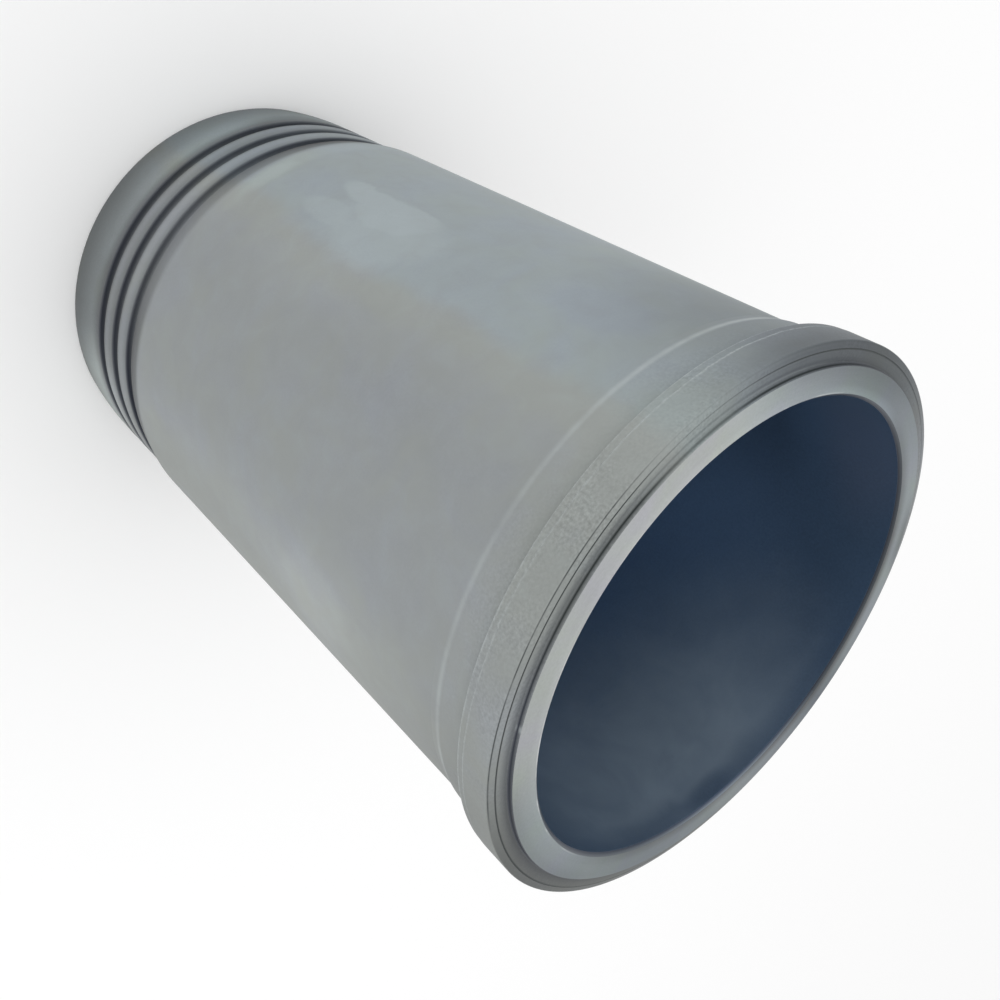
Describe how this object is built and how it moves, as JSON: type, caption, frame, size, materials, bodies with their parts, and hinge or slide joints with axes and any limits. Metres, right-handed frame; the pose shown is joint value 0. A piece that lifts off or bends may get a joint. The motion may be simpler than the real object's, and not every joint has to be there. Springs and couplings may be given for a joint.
{
  "type": "cylinder liner",
  "caption": "Flanged wet cylinder liner: a long sleeve with a honed bore, a stepped top flange with a raised sealing ring, and seal grooves around its lower end.",
  "frame": {"origin": "centre of the lower end face, on the bore axis", "axes": "+Z along the bore axis, from the lower end with the seal grooves up to the flange; the part is the same all the way round, so X and Y are free"},
  "size_m": [0.168, 0.168, 0.2685],
  "materials": {
    "cylinder_liner": "matt grey phosphate coating outside, turned light grey sealing ring, honed dark blue-grey bore"
  },
  "bodies": {
    "root": {"cylinder_liner": "cylinder_liner"}
  },
  "joints": []
}
